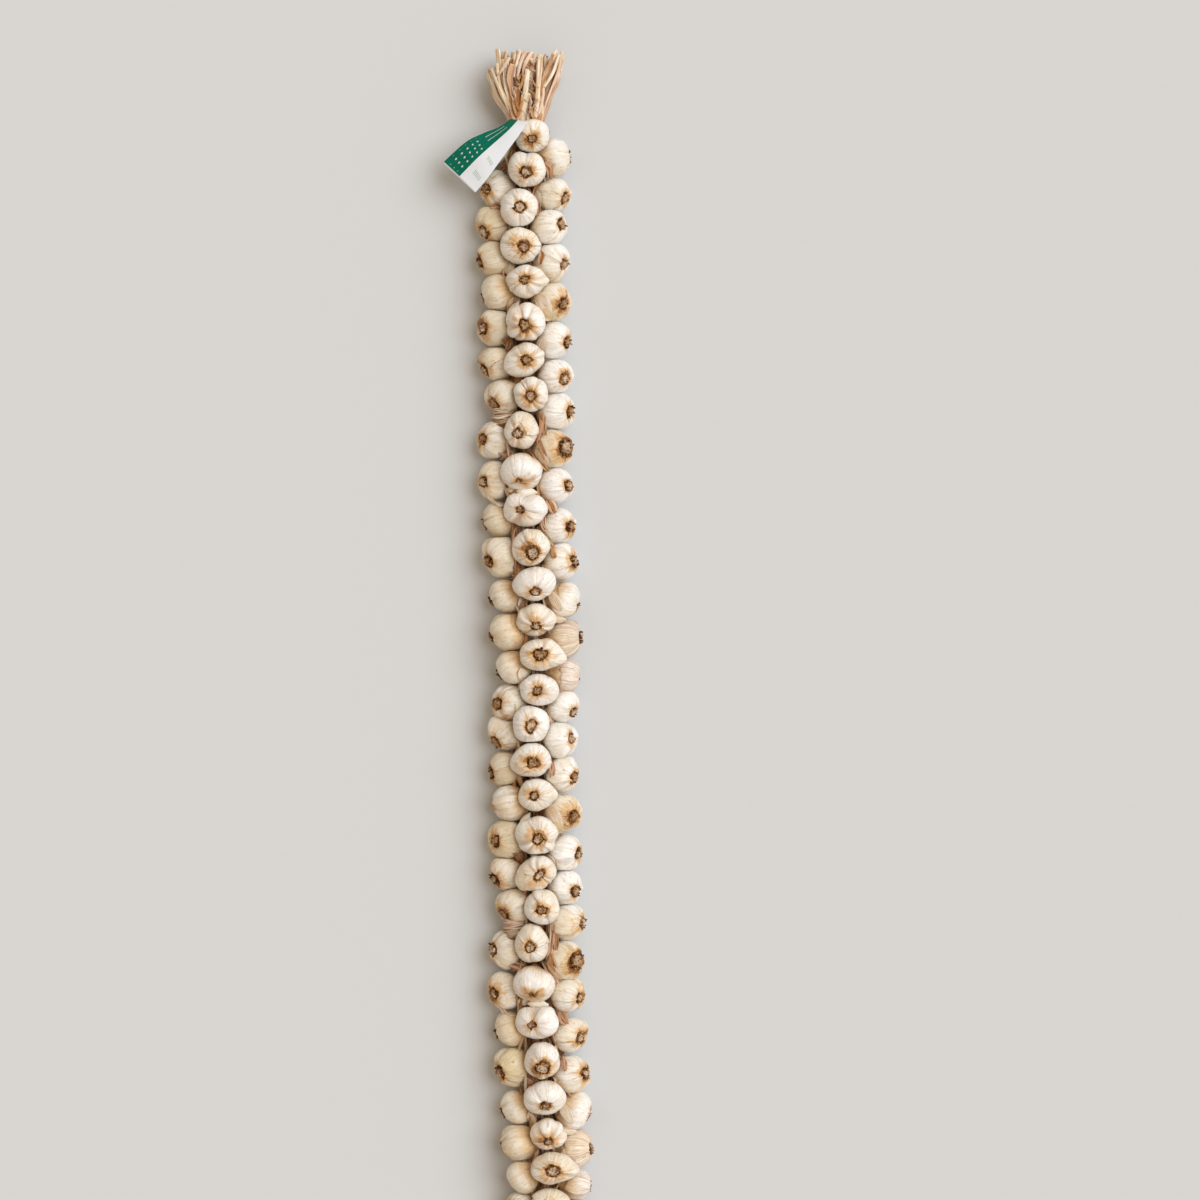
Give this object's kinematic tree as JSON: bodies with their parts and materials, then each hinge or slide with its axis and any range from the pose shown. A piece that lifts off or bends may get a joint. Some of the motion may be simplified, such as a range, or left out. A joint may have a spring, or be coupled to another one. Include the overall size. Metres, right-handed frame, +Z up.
{
  "type": "garlic braid",
  "caption": "Long braid of whole garlic bulbs in three columns on a plait of dried stems, with a tuft of cut stems and a paper tag.",
  "frame": {"origin": "middle of the underside of the whole braid's box, which the flat back of the plait defines", "axes": "+Y runs along the braid towards the tuft of stems, +X is to the right seen from the front, +Z points up out of the front"},
  "size_m": [0.1772, 1.6676, 0.08],
  "materials": {
    "garlic_skin": "dry papery garlic skin, off-white with tan stains, satin",
    "stem_straw": "dried flat stems, straw to brown, matte",
    "tag_paper": "printed paper, half deep green and half white, smooth"
  },
  "bodies": {
    "root": {"bulb_row_01": "garlic_skin", "bulb_row_02": "garlic_skin", "bulb_row_03": "garlic_skin", "bulb_row_04": "garlic_skin", "bulb_row_05": "garlic_skin", "bulb_row_06": "garlic_skin", "bulb_row_07": "garlic_skin", "bulb_row_08": "garlic_skin", "bulb_row_09": "garlic_skin", "bulb_row_10": "garlic_skin", "bulb_row_11": "garlic_skin", "bulb_row_12": "garlic_skin", "bulb_row_13": "garlic_skin", "bulb_row_14": "garlic_skin", "bulb_row_15": "garlic_skin", "bulb_row_16": "garlic_skin", "bulb_row_17": "garlic_skin", "bulb_row_18": "garlic_skin", "bulb_row_19": "garlic_skin", "bulb_row_20": "garlic_skin", "bulb_row_21": "garlic_skin", "bulb_row_22": "garlic_skin", "bulb_row_23": "garlic_skin", "bulb_row_24": "garlic_skin", "bulb_row_25": "garlic_skin", "bulb_row_26": "garlic_skin", "bulb_row_27": "garlic_skin", "bulb_row_28": "garlic_skin", "bulb_row_29": "garlic_skin", "bulb_row_30": "garlic_skin", "bulb_row_31": "garlic_skin", "plait": "stem_straw", "tuft": "stem_straw", "tag": "tag_paper"}
  },
  "joints": []
}
